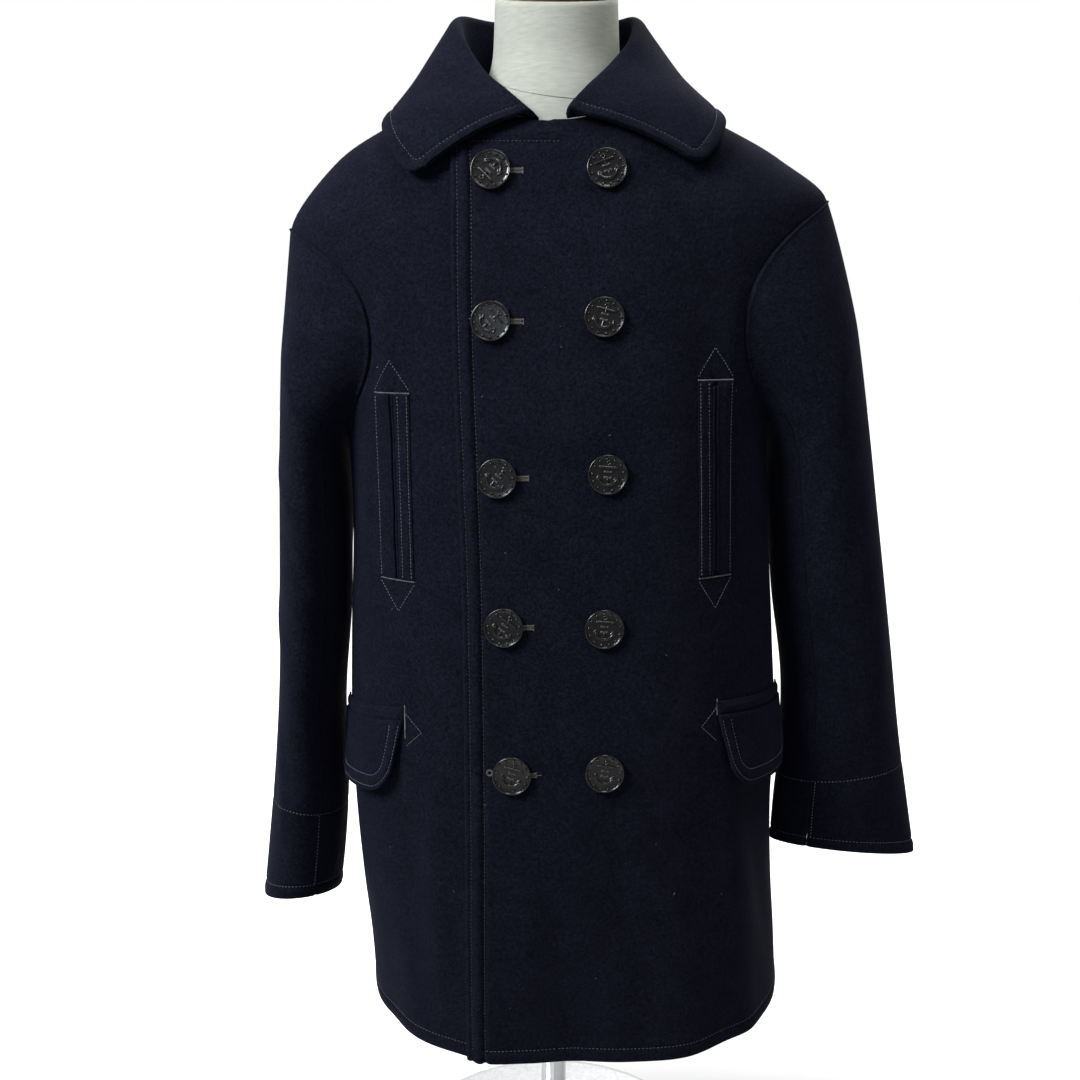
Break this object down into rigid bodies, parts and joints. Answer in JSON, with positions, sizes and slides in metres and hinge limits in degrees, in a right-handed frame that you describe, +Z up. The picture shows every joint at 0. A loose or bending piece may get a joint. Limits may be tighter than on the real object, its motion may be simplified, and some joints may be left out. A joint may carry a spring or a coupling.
{
  "type": "pea coat on a limbless dress form",
  "caption": "Long double-breasted wool coat buttoned to the neck, with broad rolled collar, upright hand pockets and hip flap pockets, worn by a limbless form on a pole and round base.",
  "frame": {"origin": "centre of the underside of the round base, on the floor and on the pole's axis", "axes": "+Z up the pole, -Y towards the coat's front, +X towards the wearer's left"},
  "size_m": [0.626, 0.36, 1.1696],
  "materials": {
    "wool": "heavy dark navy melton wool with a soft matte nap",
    "button": "black moulded button with a raised rim, satin to glossy",
    "linen": "off-white plain linen stretched over the form",
    "wood": "oiled turned wood",
    "steel": "satin metal"
  },
  "bodies": {
    "root": {"front_left": "wool", "front_right": "wool", "back": "wool", "collar": "wool", "sleeve_left_upper": "wool", "sleeve_left_under": "wool", "welt_left_inner": "wool", "welt_left_outer": "wool", "pocket_band_left": "wool", "pocket_flap_left": "wool", "sleeve_right_upper": "wool", "sleeve_right_under": "wool", "welt_right_inner": "wool", "welt_right_outer": "wool", "pocket_band_right": "wool", "pocket_flap_right": "wool", "button_lap_1": "button", "button_lap_2": "button", "button_lap_3": "button", "button_lap_4": "button", "button_lap_5": "button", "button_plain_1": "button", "button_plain_2": "button", "button_plain_3": "button", "button_plain_4": "button", "button_plain_5": "button", "form_torso": "linen", "form_neck_cap": "wood", "form_pole": "steel", "form_base": "steel"}
  },
  "joints": []
}
